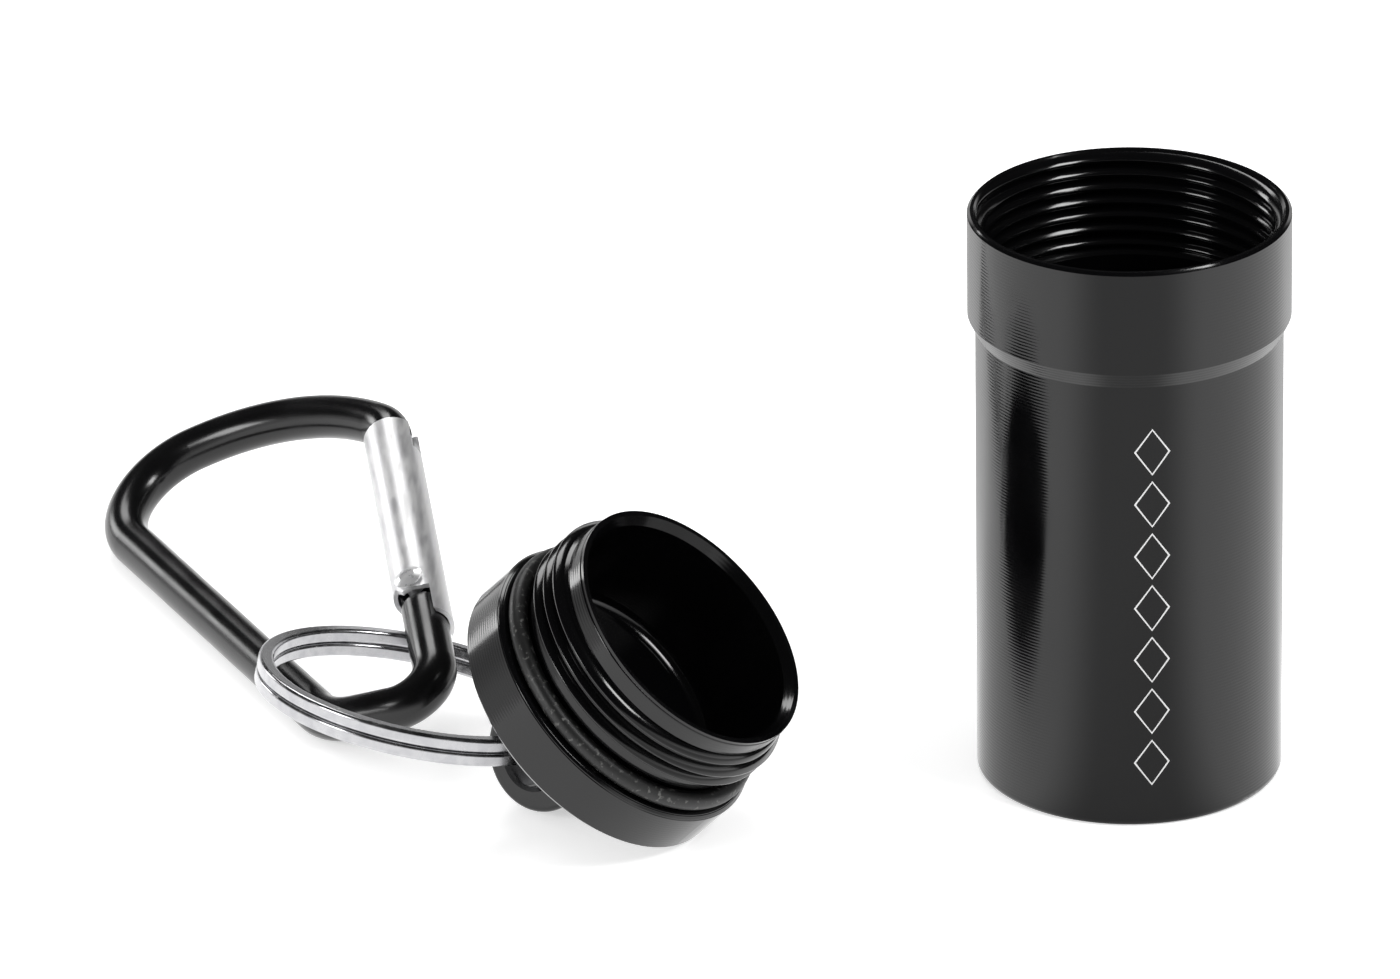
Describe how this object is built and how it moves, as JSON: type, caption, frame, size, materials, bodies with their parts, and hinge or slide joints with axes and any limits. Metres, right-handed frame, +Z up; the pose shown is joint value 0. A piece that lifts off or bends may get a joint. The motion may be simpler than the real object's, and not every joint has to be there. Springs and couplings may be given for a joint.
{
  "type": "earplug case",
  "caption": "Screw-top metal pocket canister standing open beside its cap, which hangs on a split ring with a snap carabiner.",
  "frame": {"origin": "middle of the canister's flat base, on the surface that it stands on", "axes": "+Z up along the canister's axis, +X to the right and +Y away from someone who sees the cap to the left of the canister"},
  "size_m": [0.1203, 0.092, 0.06],
  "materials": {
    "black_anodised": "turned and black anodised",
    "rubber": "matt",
    "polished_steel": "plated and polished",
    "black_gloss": "polished and black anodised",
    "satin_aluminium": "satin",
    "rivet_steel": "satin",
    "spring_steel": "drawn"
  },
  "bodies": {
    "canister": {"canister_body": "black_anodised"},
    "cap": {"cap": "black_anodised", "o_ring": "rubber"},
    "ring": {"split_ring": "polished_steel"},
    "carabiner": {"carabiner_frame": "black_gloss", "gate_rivet": "rivet_steel"},
    "gate": {"gate": "satin_aluminium", "gate_plunger": "rivet_steel", "gate_spring": "spring_steel"}
  },
  "joints": [
    {"name": "cap_lift", "type": "slide", "parent": "canister", "child": "cap", "axis": [0, 0, 1], "range_m": [0, 0.08]},
    {"name": "ring_swing", "type": "hinge", "parent": "cap", "child": "ring", "pos_m": [-0.0583, -0.00851, 0.00579], "axis": [0.5904, 0.7747, -0.2262], "range_deg": [0, 45]},
    {"name": "carabiner_swing", "type": "hinge", "parent": "ring", "child": "carabiner", "pos_m": [-0.07127, 0.0171, 0.00544], "axis": [0.977, -0.0399, -0.2093], "range_deg": [0, 80]},
    {"name": "gate_hinge", "type": "hinge", "parent": "carabiner", "child": "gate", "pos_m": [-0.0709, 0.01985, 0.00986], "axis": [-0.43, -0.2069, 0.8788], "range_deg": [0, 25], "stiffness_Nm_per_rad": 0.03, "springref_deg": -34.38}
  ]
}
